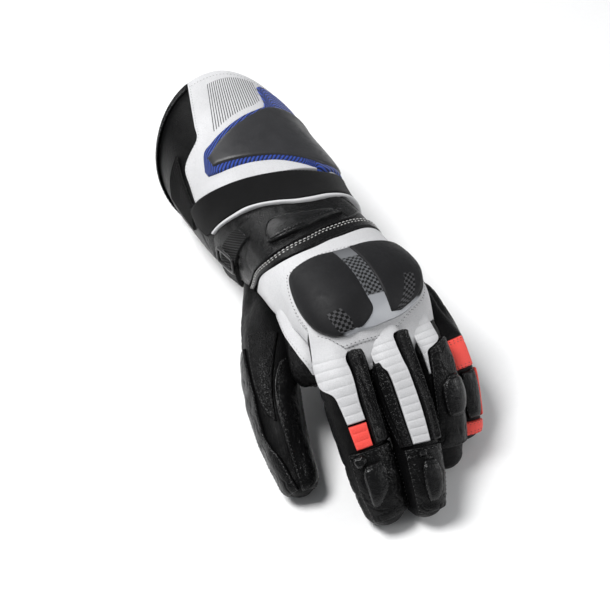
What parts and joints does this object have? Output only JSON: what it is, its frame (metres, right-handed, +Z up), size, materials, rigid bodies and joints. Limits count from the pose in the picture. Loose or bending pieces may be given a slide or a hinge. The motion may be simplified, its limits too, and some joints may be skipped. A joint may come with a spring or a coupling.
{
  "type": "motorcycle glove",
  "caption": "Long leather race glove for the left hand, standing palm down with bent fingers, with a hard knuckle guard, ribbed fingers and an open cuff.",
  "frame": {"origin": "centre of the glove's box in plan, on the table's top", "axes": "+X towards the little finger, +Y towards the cuff's rim, +Z up; the fingers point to -Y and the thumb is at -X"},
  "size_m": [0.1174, 0.2879, 0.0972],
  "materials": {
    "black_leather": "fine grain, soft sheen",
    "white_leather": "smooth coated, stitched",
    "red_leather": "smooth coated, stitched",
    "blue_webbing": "woven edge tape",
    "stretch_cloth": "ribbed elastic cloth",
    "black_suede": "napped microfibre",
    "strap_webbing": "narrow woven tape",
    "dark_shell": "moulded, satin to gloss",
    "light_frame": "moulded, satin"
  },
  "bodies": {
    "root": {"cuff_shell": "black_leather", "hand_shell": "black_leather", "index_finger": "black_leather", "middle_finger": "black_leather", "ring_finger": "black_leather", "little_finger": "black_leather", "thumb": "black_leather", "gauntlet_panel": "white_leather", "plate_border": "blue_webbing", "gauntlet_plate": "dark_shell", "stretch_gusset": "stretch_cloth", "cuff_binding": "black_leather", "closure_flap": "black_suede", "flap_piping": "white_leather", "wrist_panel": "black_leather", "wrist_pad": "black_leather", "wrist_seam_band": "black_leather", "wrist_strap": "strap_webbing", "strap_slider": "dark_shell", "back_panel": "white_leather", "guard_rim": "white_leather", "knuckle_guard": "light_frame", "guard_inner_lobe": "dark_shell", "guard_outer_lobe": "dark_shell", "index_ribs": "white_leather", "index_red_ribs": "red_leather", "middle_ribs": "white_leather", "ring_ribs": "white_leather", "index_tongue": "black_leather", "middle_tongue": "black_leather", "ring_panel": "black_leather", "index_cap": "black_leather", "middle_cap": "black_leather", "index_pad": "black_leather", "index_bump": "black_leather", "middle_pad": "black_leather", "middle_bump": "black_leather", "ring_pad": "black_leather", "little_red_panel": "red_leather", "little_pad": "black_leather", "little_side_band": "red_leather", "little_tip_patch": "red_leather", "thumb_back_panel": "black_leather", "thumb_side_panel": "black_leather"}
  },
  "joints": []
}
